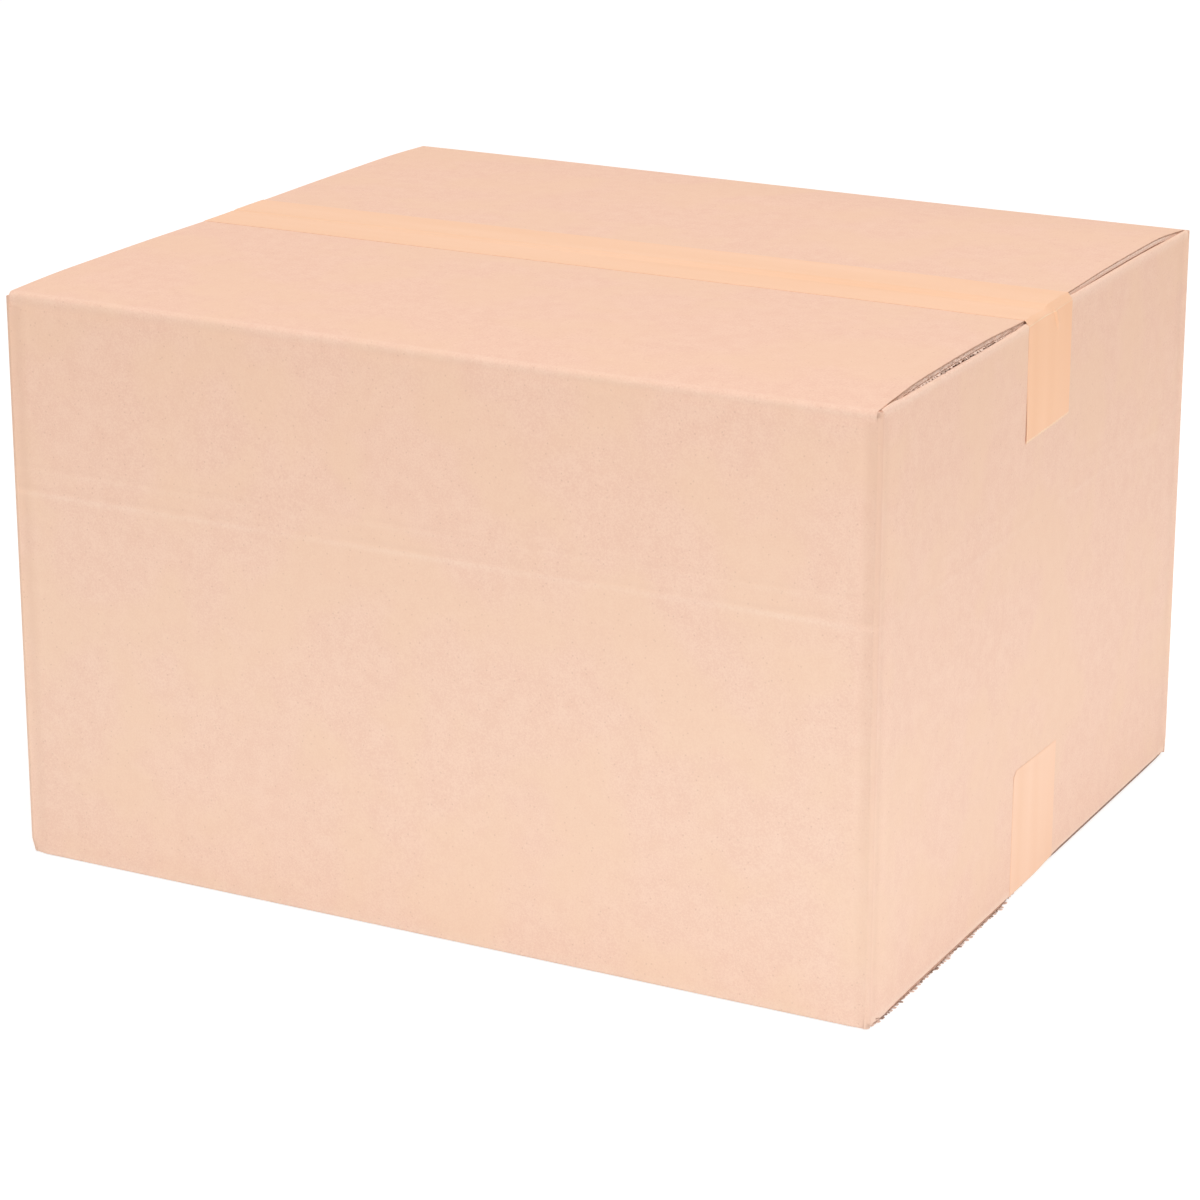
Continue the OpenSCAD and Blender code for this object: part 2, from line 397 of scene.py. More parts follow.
def packing_tape(name, deep, light):
    """Long thin noise cells along the strip mix two warm tones, and a finer one
    varies the sheen. The place is the distance along the strip and across it."""
    material, tree = new_material(name)
    along, side = (
        add(tree, "Math", {0: add(tree, "Attribute", attribute_name=way).outputs["Fac"],
                           1: 1 / size}, operation="MULTIPLY")
        for way, size in (("wear", STREAK_LENGTH), ("across", STREAK_WIDTH)))
    place = add(tree, "CombineXYZ", {"X": along, "Y": side})
    streaks = add(tree, "TexNoise", {"Vector": place, "Scale": 1.0, "Detail": 1.0,
                                     "Roughness": 0.5})
    tone = add(tree, "MapRange", {"Value": streaks, "From Min": 0.3, "From Max": 0.7})
    paper = add(tree, "Mix", {"Factor": tone, 6: colour(deep), 7: colour(light)},
                data_type="RGBA")
    point = add(tree, "TexCoord").outputs["Object"]
    grain = add(tree, "TexNoise", {"Vector": point, "Scale": 1 / SHEEN_SIZE, "Detail": 2.0})
    rough = add(tree, "MapRange", {"Value": grain, "To Min": 0.42, "To Max": 0.6})
    bump = add(tree, "Bump", {"Height": grain, "Strength": 0.3, "Distance": GRAIN_HEIGHT})
    shader = add(tree, "BsdfPrincipled", {"Base Color": paper, "Roughness": rough,
                                          "Specular IOR Level": 0.35, "Normal": bump})
    add(tree, "OutputMaterial", {"Surface": shader})
    return material


tape_finish, torn_end_and_highlight_finish, shaded_tail_finish, low_tail_finish = (
    packing_tape(name, *tones) for name, tones in TAPE_TONES.items())
print("materials", *TAPE_TONES)

# %% [markdown]
# ## Four panels and their corners
# Seen from above, the sleeve is a strip that starts at the back panel's raw
# edge, runs round the four panels and ends as the glue tab. Its columns are
# stations along that strip. Each has a place on the outside of the board, a
# place on the inside, and the direction that faces out.

# %% Columns round the sleeve
OUT = np.array([(0, 1), (1, 0), (0, -1), (-1, 0)], float)
ALONG = np.roll(OUT, -1, axis=0)
FACE = np.array([WIDTH / 2, LENGTH / 2, WIDTH / 2, LENGTH / 2])
EDGE = np.array([LENGTH / 2, WIDTH / 2, LENGTH / 2, WIDTH / 2])
BACK, RIGHT, FRONT, LEFT, TAB = range(5)
CORNER_TURNS = np.radians([4, 14, 29, 45, 61, 76, 86])
GLUE = 0.1 * MM


def straight_columns(panel, start, stop, start_inside, stop_inside):
    """Stations along a flat panel, closer together beside its folds. The inside
    has the same stations, stretched between its own ends."""
    out, along = OUT[panel % 4], ALONG[panel % 4]
    a = spread(start, stop, STEP, [(end, *fine) for end in (start, stop)
                                   for fine in ((12 * MM, 1.5 * MM), (1.5 * MM, SLOT))])
    share = (a - start) / (stop - start)
    inside = start_inside + share * (stop_inside - start_inside)
    face = FACE[panel % 4] - (BOARD + GLUE if panel == TAB else 0)
    return dict(panel=np.full(len(a), panel), a=a, normal=np.tile(out, (len(a), 1)),
                outer=face * out + a[:, None] * along,
                inner=(face - BOARD) * out + inside[:, None] * along, turn=np.zeros(len(a)))


def corner_columns(panel, edge):
    """Stations round an upright fold: a quarter circle on the outside, and a much
    smaller one on the inside where the board is pressed together."""
    out, along = OUT[panel], ALONG[panel]
    angle = CORNER_TURNS[:, None]
    ray = np.cos(angle) * out + np.sin(angle) * along
    tight = ray * (np.cos(angle) ** 3 + np.sin(angle) ** 3) ** (-1 / 3)
    centre = (FACE[panel] - CORNER_R) * out + (edge - CORNER_R) * along
    pinch = BOARD + INSIDE_R
    hollow = (FACE[panel] - pinch) * out + (edge - pinch) * along
    n = len(angle)
    return dict(panel=np.full(n, -1), a=np.zeros(n), normal=ray,
                outer=centre + CORNER_R * tight, inner=hollow + INSIDE_R * ray,
                turn=np.sin(2 * angle[:, 0]))


def sleeve_columns():
    """All stations in order, from the back panel's raw edge to the glue tab's end."""
    parts = []
    inside = BOARD + INSIDE_R
    for panel in (BACK, RIGHT, FRONT, LEFT):
        edge = EDGE[panel]
        start = -edge + (JOINT_X if panel == BACK else CORNER_R)
        first = start if panel == BACK else -edge + inside
        if panel == LEFT:
            edge = edge - BOARD - GLUE
        parts.append(straight_columns(panel, start, edge - CORNER_R, first, edge - inside))
        parts.append(corner_columns(panel, edge))
    tab_start, tab_stop = -LENGTH / 2 + CORNER_R, -LENGTH / 2 + TAB_W
    parts.append(straight_columns(TAB, tab_start, tab_stop, -LENGTH / 2 + inside, tab_stop))
    columns = {k: np.concatenate([p[k] for p in parts]) for k in parts[0]}
    columns["s"] = run_along(columns["outer"])
    return columns


columns = sleeve_columns()
strip_panel, strip_a, strip_s, strip_turn = (columns[k] for k in ("panel", "a", "s", "turn"))
print("columns", len(strip_a), "strip length", round(strip_s[-1], 3))

# %% [markdown]
# ## Relief of the panels
# A carton is never quite flat. Beside each upright fold the board is pressed in
# and swells again a little further on. Two press lines from the folding machine
# run round it, and every panel waves slowly by a few tenths of a millimetre.
# The relief is one function of the place along a panel and the height.

# %% Relief
PRESS_UPPER = SEAM_TOP - 78 * MM
PRESS_LOWER = SEAM_TOP - 88 * MM
FRONT_CREST = SEAM_TOP - 2.3 * MM
WAVE_DEPTH = 0.35 * MM
FLAT_RIM = 40 * MM


def upright_fold_relief(panel, a):
    """Dip and swelling beside the upright folds, by the distance from the fold.
    They are wider on the end panels."""
    d = np.minimum(EDGE[panel % 4] - CORNER_R - np.abs(a), FLAT_RIM)
    if panel % 2:
        dip = 0.55 * MM * bell(d, 5.0 * MM, 4.2 * MM)
        return 0.1 * MM * bell(d, 14 * MM, 3.5 * MM) - dip
    dip = 0.40 * MM * bell(d, 2.8 * MM, 2.4 * MM)
    return 0.12 * MM * bell(d, 7.5 * MM, 2.2 * MM) - dip


def press_line_relief(panel, a, z):
    """Two shallow grooves, the lower one with a raised lip, that fade in places."""
    upper = -0.14 * MM * bell(z, PRESS_UPPER, 1.4 * MM)
    lower = -0.24 * MM * bell(z, PRESS_LOWER, 1.4 * MM)
    lip = 0.16 * MM * bell(z, PRESS_LOWER - 3.2 * MM, 1.8 * MM)
    fade = (0.65 + 0.35 * wander(a, 11 + panel, 120 * MM)) * (0.5 if panel % 2 else 1.0)
    return (upper + lower + lip) * fade


def fold_line_relief(panel, z):
    """The score beside the top fold: a dip, then a slight swelling. The weight of
    the box has pressed the bottom folds flat, so they show almost none."""
    if panel % 2:
        return -0.05 * MM * bell(z, SEAM_TOP - 7 * MM, 2 * MM)
    below = FRONT_CREST - z
    dip = 0.34 * MM * bell(below, 4.3 * MM, 1.2 * MM) + 0.06 * MM * bell(z, 4.5 * MM, 1.4 * MM)
    return 0.12 * MM * bell(below, 7.6 * MM, 1.8 * MM) - dip


def stack_crease(panel, a, z):
    """A soft upright crease in the right end panel, from a box that stood on it."""
    if panel != RIGHT:
        return 0.0
    reach = ramp(z, 55 * MM, 90 * MM) * ramp(-z, -215 * MM, -170 * MM)
    return -0.25 * MM * bell(a, 62 * MM, 5 * MM) * reach


def panel_wave(panel, a, z):
    """Slow waves of the whole panel, held flat at its four sides."""
    across = wander(a, 21 + panel, 190 * MM) * wander(z, 31 + panel, 230 * MM)
    hold = ramp(EDGE[panel % 4] - np.abs(a), 0, FLAT_RIM)
    hold = hold * ramp(z, 0, FLAT_RIM) * ramp(SEAM_TOP - z, 0, FLAT_RIM)
    return WAVE_DEPTH * across * hold


def panel_relief(panel, a, z):
    """How far the outside of a panel stands out from its flat face."""
    return (upright_fold_relief(panel, a) + press_line_relief(panel, a, z)
            + fold_line_relief(panel, z) + stack_crease(panel, a, z) + panel_wave(panel, a, z))


print("relief at a press line:", panel_relief(FRONT, np.array([0.05]), np.array([PRESS_LOWER])))

# %% [markdown]
# ## Levels of the flaps
# The folds of the big flaps lie as low as those of the small flaps beneath, so
# each big flap climbs over the board of the small ones, springs up a little, and
# comes down where the tape holds it. The back flap ends up slightly higher than
# the front one, and the tape bridges the step. Underneath, the weight of the box
# has crushed the cut ends of the big flaps, the front one's most.

# %% Flap levels
REAR_LIFT = 1.3 * MM
LEFT_SHARE = 0.22
LEFT_RAISE = 0.75
PROUD = 2.0 * MM
CRUSH = {FRONT: 2.0 * MM, BACK: 1.1 * MM}
CLIMB = 45 * MM
HELD_FROM = (WIDTH - (top_tape_high.y - top_tape_low.y)) / 2 - 3 * MM
HUMP_SKEW = 1.3
TOP_FLAPS = {
    BACK: dict(crest=SEAM_TOP - 1.8 * MM, seam=SEAM_TOP + REAR_LIFT, hump=0.5 * MM),
    FRONT: dict(crest=FRONT_CREST, seam=SEAM_TOP, hump=1.0 * MM),
}
BOTTOM_FLAPS = dict.fromkeys((BACK, FRONT), dict(crest=-0.3 * MM, seam=0.0, hump=0.0))
DISH = 0.25 * MM
HELD_DOWN = 0.35 * MM
MINOR_CLEAR = 0.4 * MM
MINOR_LEVEL = SEAM_TOP - BOARD - MINOR_CLEAR
END_STEP = 1.6 * MM
END_FALL = 1.0 * MM
LOW_END_DROP = 1.5 * MM
LOW_END_STEP = 1.7 * MM


def spring(x):
    """How much the flaps spring up: fully at the right end, little at the left."""
    return LEFT_SHARE + (1 - LEFT_SHARE) * ramp(x, -190 * MM, 120 * MM)


def flap_crest(flap, x):
    """Level of a big flap's fold. Where the flap springs up less, its fold is higher."""
    raised = (SEAM_TOP - flap["crest"]) * LEFT_RAISE * (1 - spring(x))
    return flap["crest"] + raised * (flap["crest"] > 0)


def held(x):
    """How far the tape pulls the flaps down towards the ends, most at the right."""
    return HELD_DOWN * (ramp(x, 130 * MM, 205 * MM) + 0.4 * ramp(-x, 150 * MM, 205 * MM))


def flap_rise(flap, u, x, radius, dish):
    """Height of a big flap over its fold, at the distance u from its panel: a sine
    climb, then a skewed hump that ends at the tape, then a dip under the tape."""
    climb = np.sin(np.pi / 2 * np.clip((u - radius) / CLIMB, 0, 1))
    share = np.clip((u - radius) / (HELD_FROM - radius), 0, 1)
    hump = spring(x) * np.sin(np.pi * share ** HUMP_SKEW)
    dip = dish * ramp(u, HELD_FROM - 5 * MM, HELD_FROM + 1 * MM)
    seam = flap["seam"] - (1 - spring(x)) * max(flap["seam"] - SEAM_TOP, 0)
    pull = held(x) * ramp(u, HELD_FROM - CLIMB, HELD_FROM) * (flap["crest"] > 0)
    return (seam - flap_crest(flap, x)) * climb + flap["hump"] * hump - dip - pull


def end_crest(y):
    """Level of the roll along an end panel's top fold. It steps up to the back flap,
    bulges beside the tape and by the near corner, and falls to the back corner."""
    step = END_STEP * ramp(y, -25 * MM, 25 * MM) + 0.8 * MM * bell(y, -15 * MM, 18 * MM)
    step = step + 0.6 * MM * bell(y, -165 * MM, 6.5 * MM)
    return FRONT_CREST + step - END_FALL * ramp(y, 100 * MM, 177 * MM)


def low_end_crest(y):
    """Level of the roll along an end panel's bottom fold, measured down from the
    floor, so it is below 0. The crushed ends of the big flaps lie under it. The front
    one is thinner, so the roll is lower there. It is also lower at the corners."""
    corners = 0.8 * MM * ramp(-y, 130 * MM, 172 * MM) + 1.0 * MM * ramp(y, 165 * MM, 177 * MM)
    return corners - LOW_END_DROP - LOW_END_STEP * ramp(y, 0, 35 * MM)


def minor_rise(u, radius, depth):
    """A small flap drops from the roll of its fold to its own flat level."""
    return -depth * ramp(u, radius, radius + 2.2 * MM)


print("front crest", round(FRONT_CREST, 5), "end crests", end_crest(np.array([-0.17, 0.1])))

# %% [markdown]
# ## Folding a flap
# A flap's section goes up its panel, round a quarter turn and over to the seam.
# The same rows are used for the outside and the inside of the board. Heights
# are measured outwards, so a bottom flap is a top flap turned over.

# %% Sections
TOP_R = 2.2 * MM
BOTTOM_R = 1.2 * MM
MINOR_R = 1.7 * MM
LOW_MINOR_R = 0.8 * MM
RADII = [[LOW_MINOR_R, MINOR_R], [BOTTOM_R, TOP_R]]
WALL_ROWS = 3
FOLD_ROWS = 8


def fold_rows(reach, radius, step):
    """Rows of a flap's section, as their kind (0 panel, 1 fold, 2 flap) and their
    share or distance within it."""
    up = np.linspace(0, 1, WALL_ROWS + 1)[:-1]
    turn = np.linspace(0, np.pi / 2, FOLD_ROWS)
    over = spread(radius, reach, step, [(radius, 9 * MM, 1.5 * MM)])[1:]
    kind = np.concatenate([np.zeros(len(up)), np.ones(len(turn)), np.full(len(over), 2)])
    return kind[:, None], np.concatenate([up, turn, over])[:, None]


def by_kind(kind, wall, fold, flap):
    """Picks each row's value by what the row belongs to."""
    return np.where(kind == 0, wall, np.where(kind == 1, fold, flap))


def fold_section(kind, value, root, crest, radius, rise):
    """Distance out from the panel's face and height, outside and inside, of each
    row. The inside turns round a far smaller radius, one board further in."""
    pinch = BOARD + INSIDE_R
    reach = value[-1, 0]
    inside_u = pinch + (value - radius) * (reach - pinch) / (reach - radius)
    out = by_kind(kind, 0, radius * (np.cos(value) - 1), -value)
    out_in = by_kind(kind, -BOARD, INSIDE_R * np.cos(value) - pinch, -inside_u)
    height = by_kind(kind, root + value * (crest - radius - root),
                     crest - radius + radius * np.sin(value), crest + rise)
    height_in = by_kind(kind, root + value * (crest - pinch - root),
                        crest - pinch + INSIDE_R * np.sin(value), crest + rise - BOARD)
    return out, height, out_in, height_in


def place(panel, out, a, height, sign):
    """Turns distance out, place along the panel and height into X, Y and Z."""
    outward, along = OUT[panel], ALONG[panel]
    out, a, height = np.broadcast_arrays(FACE[panel] + out, a, sign * height)
    return np.stack([*(out * outward[i] + a * along[i] for i in (0, 1)), height], -1)


print("rows of a big flap:", len(fold_rows(REACH, TOP_R, STEP)[0]))

# %% [markdown]
# ## Raw edges
# A big flap's ends are cut along the flutes, so the knife leaves an open channel
# between the liners. The rim there is not flat: it goes in under one liner, down
# the back of the channel and out over the other. The channel closes where the
# fold and the tape press the board together.

# %% Raw edge rim
CHANNEL = 2.6 * MM
SHUT_BY_FOLD = 9 * MM
TORN = {FRONT: 0.7 * MM, BACK: 0.1 * MM}
TOP_SLANT, LOW_SLANT = 2.0, 0.1
JOINT_TORN, JOINT_SLANT = 0.4 * MM, 1.0


def raw_rim(outer, inner, inward, open_share):
    """Six points at each place along an edge: the outer liner's lip, the channel's
    two inner corners and the inner liner's lip. open_share closes the channel."""
    share = (LINER / BOARD * open_share)[:, None]
    deep = (CHANNEL * open_share)[:, None] * inward
    lip = outer + share * (inner - outer)
    low_lip = inner + share * (outer - inner)
    return np.stack([outer, lip, lip + deep, low_lip + deep, low_lip, inner], 1)


def channel_share(distance, length):
    """Opens the channel over 10 mm from its start and closes it before its end."""
    return ramp(distance, 4 * MM, 14 * MM) * ramp(length - distance, 0, 6 * MM)


print("channel", CHANNEL, "tears, front and back:", TORN[FRONT], TORN[BACK])


# %% [markdown]
# ## The carton
# Sleeve and flaps are grids on the same columns, so they share their borders and
# weld into one closed shell, as the real box is one sheet. The inside of every
# panel and flap is there too, one board thickness further in.

# %% Carton
TOP_ROOT = SEAM_TOP - ROOT
LOW_ROOT = ROOT
CORNER_STARTS = strip_s[np.flatnonzero(np.diff(strip_panel) < 0)] + 5 * MM
TOP_TONGUES = np.array([4.2, 3.7, 3.2, 3.0]) * MM
LOW_TONGUES = np.array([4.3, 5.7, 5.6, 4.3]) * MM
KNOCKS = {(-1, -1): (7 * MM, 1.5 * MM), (1, 1): (10 * MM, 0.35 * MM),
          (-1, 1): (10 * MM, 1.2 * MM), (1, -1): (6 * MM, 0.3 * MM)}
# Painted shade on and beside the upright folds.
FOLD_SHADE = 0.36
CORNER_SHADE = 0.42
carton_shell = Shell()
raw_edges = []


def worn_corners(points):
    """Pushes the bottom corners in a little where they have been knocked."""
    for (side_x, side_y), (reach, depth) in KNOCKS.items():
        corner = np.array([side_x * LENGTH / 2, side_y * WIDTH / 2, 0])
        away = np.linalg.norm(points - corner, axis=-1, keepdims=True)
        inwards = -corner / np.linalg.norm(corner)
        points = points + depth * np.clip(1 - away / reach, 0, 1) * inwards
    return points


def sleeve_grids():
    """Outside and inside of the four panels, their folds and the glue tab. The
    board between two flaps' slots stands up at each corner as a short tongue."""
    z = spread(LOW_ROOT, TOP_ROOT, STEP, [
        (LOW_ROOT, 9 * MM, 1.2 * MM), (TOP_ROOT, 9 * MM, 1.2 * MM),
        (PRESS_UPPER, 4 * MM, 0.8 * MM), (PRESS_LOWER - 1 * MM, 5 * MM, 0.8 * MM)])[:, None]
    relief = np.zeros((len(z), len(strip_a)))
    for panel in (BACK, RIGHT, FRONT, LEFT):
        mine = strip_panel == panel
        relief[:, mine] = panel_relief(panel, strip_a[None, mine], z)
    middle = (LOW_ROOT + TOP_ROOT) / 2
    tab_share = np.where(strip_panel == TAB,
                         (strip_a + LENGTH / 2 - CORNER_R) / (TAB_W - CORNER_R), 0)
    height = middle + (z - middle) * (1 - tab_share * TAB_TAPER / (middle - LOW_ROOT))
    corner = np.searchsorted(CORNER_STARTS, strip_s) % 4
    reach = np.clip(8 * strip_turn, 0, 1)
    height = height + reach * TOP_TONGUES[corner] * ramp(z, TOP_ROOT - 4 * MM, TOP_ROOT)
    height = height - reach * LOW_TONGUES[corner] * ramp(-z, -LOW_ROOT - 4 * MM, -LOW_ROOT)
    outer = columns["outer"][None] + relief[..., None] * columns["normal"][None]
    inner = np.broadcast_to(columns["inner"][None], outer.shape)
    return *(np.concatenate([v, height[..., None]], -1) for v in (outer, inner)), z[:, 0]


def fold_wear_and_painted_light(d, wear_and_highlight=0.3, pressed=0.0, reach=5 * MM):
    """Paler on a fold, from wear and as a painted highlight, and darker in the band
    beside it as painted shade.
    """
    return wear_and_highlight * bell(d, 0, 1.4 * MM) - pressed * bell(d, reach, 0.55 * reach)


def press_line_shading(z):
    """The press lines get painted shade in their grooves and a painted highlight
    beside them.
    """
    upper = 0.12 * bell(z, PRESS_UPPER - 2 * MM, 1.2 * MM)
    wear_and_highlight = upper + 0.3 * bell(z, PRESS_LOWER - 2.4 * MM, 1.3 * MM)
    return wear_and_highlight - 0.08 * bell(z, PRESS_UPPER, 1.4 * MM) - 0.1 * bell(z, PRESS_LOWER, 1.4 * MM)


def sleeve_wear_and_shade(z):
    """Wear and painted light over the whole sleeve: the folds, the press lines, and
    painted shade beside the upright folds, darker towards the top and darkest on
    the roll itself."""
    narrow = strip_panel % 2 == 1
    press_fade = np.where(narrow, 0.5, 1.0) * (1 + 0.5 * wander(strip_s, 17, 150 * MM))
    beside = EDGE[strip_panel % 4] - CORNER_R - np.abs(strip_a)
    distance = np.where(strip_panel < 0, 0, beside)
    # Slightly paler on the upright folds, and a band of painted shade beside them, stronger on
    # the end panels.
    wear = fold_wear_and_painted_light(distance, 0.06, np.where(narrow, 0.16, 0.08))
    # Painted shade in the press line grooves and a painted highlight beside them.
    wear = wear + press_line_shading(z)[:, None] * press_fade
    front_side = (strip_panel % 2 == 0) | (strip_turn > 0)
    # Painted shade: a band beside each upright fold on the front and back panels and round the
    # fold, darker towards the top, and more on the roll.
    smooth = ramp(-distance, -5.2 * MM, -3.8 * MM) * front_side
    wear = wear - FOLD_SHADE * smooth * (0.2 + 0.8 * z[:, None] / SEAM_TOP)
    return wear - CORNER_SHADE * strip_turn


sleeve_outer, sleeve_inner, sleeve_z = sleeve_grids()
carton_shell.grid(worn_corners(sleeve_outer), 0, strip_s, sleeve_wear_and_shade(sleeve_z))
carton_shell.grid(worn_corners(sleeve_inner), 0, strip_s)
tab_end = np.stack([sleeve_outer[:, -1], sleeve_inner[:, -1]], 1)
carton_shell.grid(worn_corners(tab_end), 1)
joint_open = channel_share(sleeve_z - LOW_ROOT, TOP_ROOT - LOW_ROOT)
joint_way = np.array((1.0, 0, 0))
joint_rim = raw_rim(sleeve_outer[:, 0], sleeve_inner[:, 0], joint_way, joint_open)
carton_shell.grid(worn_corners(joint_rim), 1)
raw_edges.append((joint_rim, joint_open, joint_way, JOINT_TORN, JOINT_SLANT))
print("sleeve rows", len(sleeve_z))

# %% [markdown]
# ## The eight flaps
# The four big flaps are the width of the front and back panels. The four small
# ones lie under them, and only their folds show, as the roll along each end.

# %% Flaps
def proud_end(a, flap_u, value):
    """How far the front bottom flap's right end stands out past the end panel."""
    proud = PROUD * ramp(-a, 150 * MM, EDGE[FRONT] - CORNER_R)
    return proud * ramp(flap_u, 1 * MM, 8 * MM) * ramp(HELD_FROM - value, -2.5 * MM, 3 * MM)


def cut_sides(panel, top, outer, inner, kind, value):
    """Closes a flap's two ends. A big flap's have an open channel, and the front top
    flap's cut is pressed shut and smooth beside its fold."""
    way = np.append(ALONG[panel], 0)
    shut = SHUT_BY_FOLD if top and panel == FRONT else 0
    for column, inward in ((0, way), (-1, -way)):
        run = run_along(outer[:, column])
        share = channel_share(run, run[-1]) if panel in TORN else np.zeros(len(run))
        rim = raw_rim(outer[:, column], inner[:, column], inward, share)
        cut = (kind[:-1] == 2) & (value[:-1] > shut)
        carton_shell.grid(rim, cut.astype(int))
        if panel in TORN:
            slant = TOP_SLANT if top else LOW_SLANT
            raw_edges.append((rim, share, inward, TORN[panel], slant))


def add_flap(panel, top):
    """Adds one flap, with its two side edges and its tip, to the carton's shell. It
    returns the sleeve's columns at its two sides."""
    sign, root = (1, TOP_ROOT) if top else (-1, -LOW_ROOT)
    major = panel in (BACK, FRONT)
    half = EDGE[panel] - CORNER_R - (0 if major else SLOT)
    mine = np.flatnonzero((strip_panel == panel) & (np.abs(strip_a) <= half + 1e-7))
    a = strip_a[mine][None]
    inside_a = columns["inner"][mine] @ ALONG[panel]
    radius = RADII[major][top]
    kind, value = fold_rows(REACH, radius, STEP if major else 3 * STEP)
    if major:
        flap = (TOP_FLAPS if top else BOTTOM_FLAPS)[panel]
        x = a * ALONG[panel][0]
        crest = flap_crest(flap, x)
        rise = flap_rise(flap, value, x, radius, 0 if top else DISH)
    else:
        y = a * ALONG[panel][1]
        if top:
            crest, level = end_crest(y), MINOR_LEVEL - HELD_DOWN * bell(y, 0, 70 * MM)
        else:
            crest, level = low_end_crest(y), -BOARD - MINOR_CLEAR
        rise = minor_rise(value, radius, crest - level)
    out, height, out_in, height_in = fold_section(kind, value, root, crest, radius, rise)
    out = out + by_kind(kind, 1.0, np.cos(value), 0.0) * panel_relief(panel, a, sign * height)
    blend = np.where(kind == 0, value, 1.0) if major else 0.0
    a_in = inside_a[None] + (a - inside_a[None]) * blend
    flap_u = by_kind(kind, 0, 0, value)
    if major and not top:
        crushed = CRUSH[panel] * ramp(np.abs(a), half - 6 * MM, half)
        height_in = height_in + crushed * ramp(flap_u, 2 * MM, 12 * MM)
    if panel == FRONT and not top:
        proud = proud_end(a, flap_u, value)
        a, a_in = a - proud, a_in - proud
    outer = worn_corners(place(panel, out, a, height, sign))
    inner = worn_corners(place(panel, out_in, a_in, height_in, sign))
    distance = by_kind(kind, (1 - value) * 3 * MM, 0, value)
    across = strip_s[mine]
    # The rolls of the flaps' folds are paler, from wear and as a painted highlight.
    carton_shell.grid(outer, 0, across, fold_wear_and_painted_light(distance, 0.25 if major else 0.6))
    carton_shell.grid(inner, 0, across)
    carton_shell.grid(np.stack([outer[-1], inner[-1]]), 1)
    cut_sides(panel, top, outer, inner, kind, value)
    return mine[0], mine[-1]


flap_ends = {}
for is_top in (True, False):
    for side in (BACK, RIGHT, FRONT, LEFT):
        flap_ends[side, is_top] = add_flap(side, is_top)

for (side, is_top), (_, first) in flap_ends.items():
    row = -1 if is_top else 0
    last = flap_ends[side + 1, is_top][0] if side < LEFT else len(strip_a) - 1
    span = slice(first, last + 1)
    tongue = np.stack([sleeve_outer[row, span], sleeve_inner[row, span]])
    carton_shell.grid(worn_corners(tongue))

carton_board = carton_shell.build("carton_board", [liner_finish, cut_finish])
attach(carton_board, "root")
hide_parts("carton")

# %% [markdown]
# ## The medium in the open channels
# The medium is one sheet pressed into waves between the liners. The knife cuts
# along a flute, so just inside the cut the sheet stands nearly upright from one
# liner to the other. A blunt knife tears it into slanting strips, like a feather,
# and each strip hangs a little further in than the one before it. It also leaves a
# fringe of fibres on one liner's lip. Real fibres are far too fine to show, so the
# fringe is drawn as short flat teeth 3 mm apart.

# %% Fluted medium
MEDIUM_INSET = 0.1 * MM
MEDIUM_SLOPE = 0.1 * MM
FEATHER = 3.4 * MM
SHARE_SHOWN = 0.3
HALF_UP = SEAM_TOP / 2
# Painted shade on the back flap's bottom raw edges, which lie in shadow under the end panel's
# roll.
LOW_EDGE_SHADE = 0.7
FRINGE_TOOTH = 3.1 * MM
FIBRE = 0.1 * MM
TOP_FRINGE = dict(lip=4, droop=-0.9, longest=0.8 * MM, shade=0.05)
LOW_FRINGE = dict(lip=1, droop=0.1, longest=1.7 * MM, shade=0.3)


def open_stretch(share, spacing, *lips):
    """Stations along the open part of a channel, as the distance along its first
    lip, and the points of each lip there."""
    run = run_along(lips[0])
    open_run = run[share > SHARE_SHOWN]
    v = np.arange(open_run[0], open_run[-1], spacing)[:, None]
    return v, *(np.stack([np.interp(v, run, lip[:, i]) for i in range(3)], -1) for lip in lips)


def medium_sheet(rim, share, inward, torn, slant, seed):
    """Middle surface of the medium in one channel, its normals, and how far each
    point lies in a split, which is painted as shade. The depth is a slope from liner
    to liner, plus a slanting sawtooth with narrow splits that come in clusters. The
    back flap's bottom edges are hardly torn, and are painted dark all over as
    the shade in the gap under the end panel's roll."""
    v, top, low = open_stretch(share, 0.35 * MM, rim[:, 1], rim[:, 4])
    height = np.linspace(0.04, 0.96, 8)[None]
    along = (v + 3 * MM * wander(v, seed, 37 * MM)) / FEATHER - slant * height
    strips = 0.4 * (along / 3.2 % 1) + 0.3 * (along % 1)
    splits = bell((along + 0.3 * wander(v, seed + 1, 9 * MM)) % 1, 0.5, 0.17)
    splits = splits * (0.75 + 0.5 * wander(v + 4 * MM * height, seed + 2, 11 * MM))
    depth = MEDIUM_INSET + MEDIUM_SLOPE * height + torn * (strips + 1.1 * splits)
    points = low + height[..., None] * (top - low) + depth[..., None] * inward
    # Painted shade: the back flap's bottom edges are darkened all over, and the splits by how
    # torn the edge is.
    low_edge_shade = LOW_EDGE_SHADE if rim[0, 1, 2] < HALF_UP and torn == TORN[BACK] else 0.0
    return points, grid_normals(points), np.clip(splits * torn / TORN[FRONT] + low_edge_shade, 0, 1)


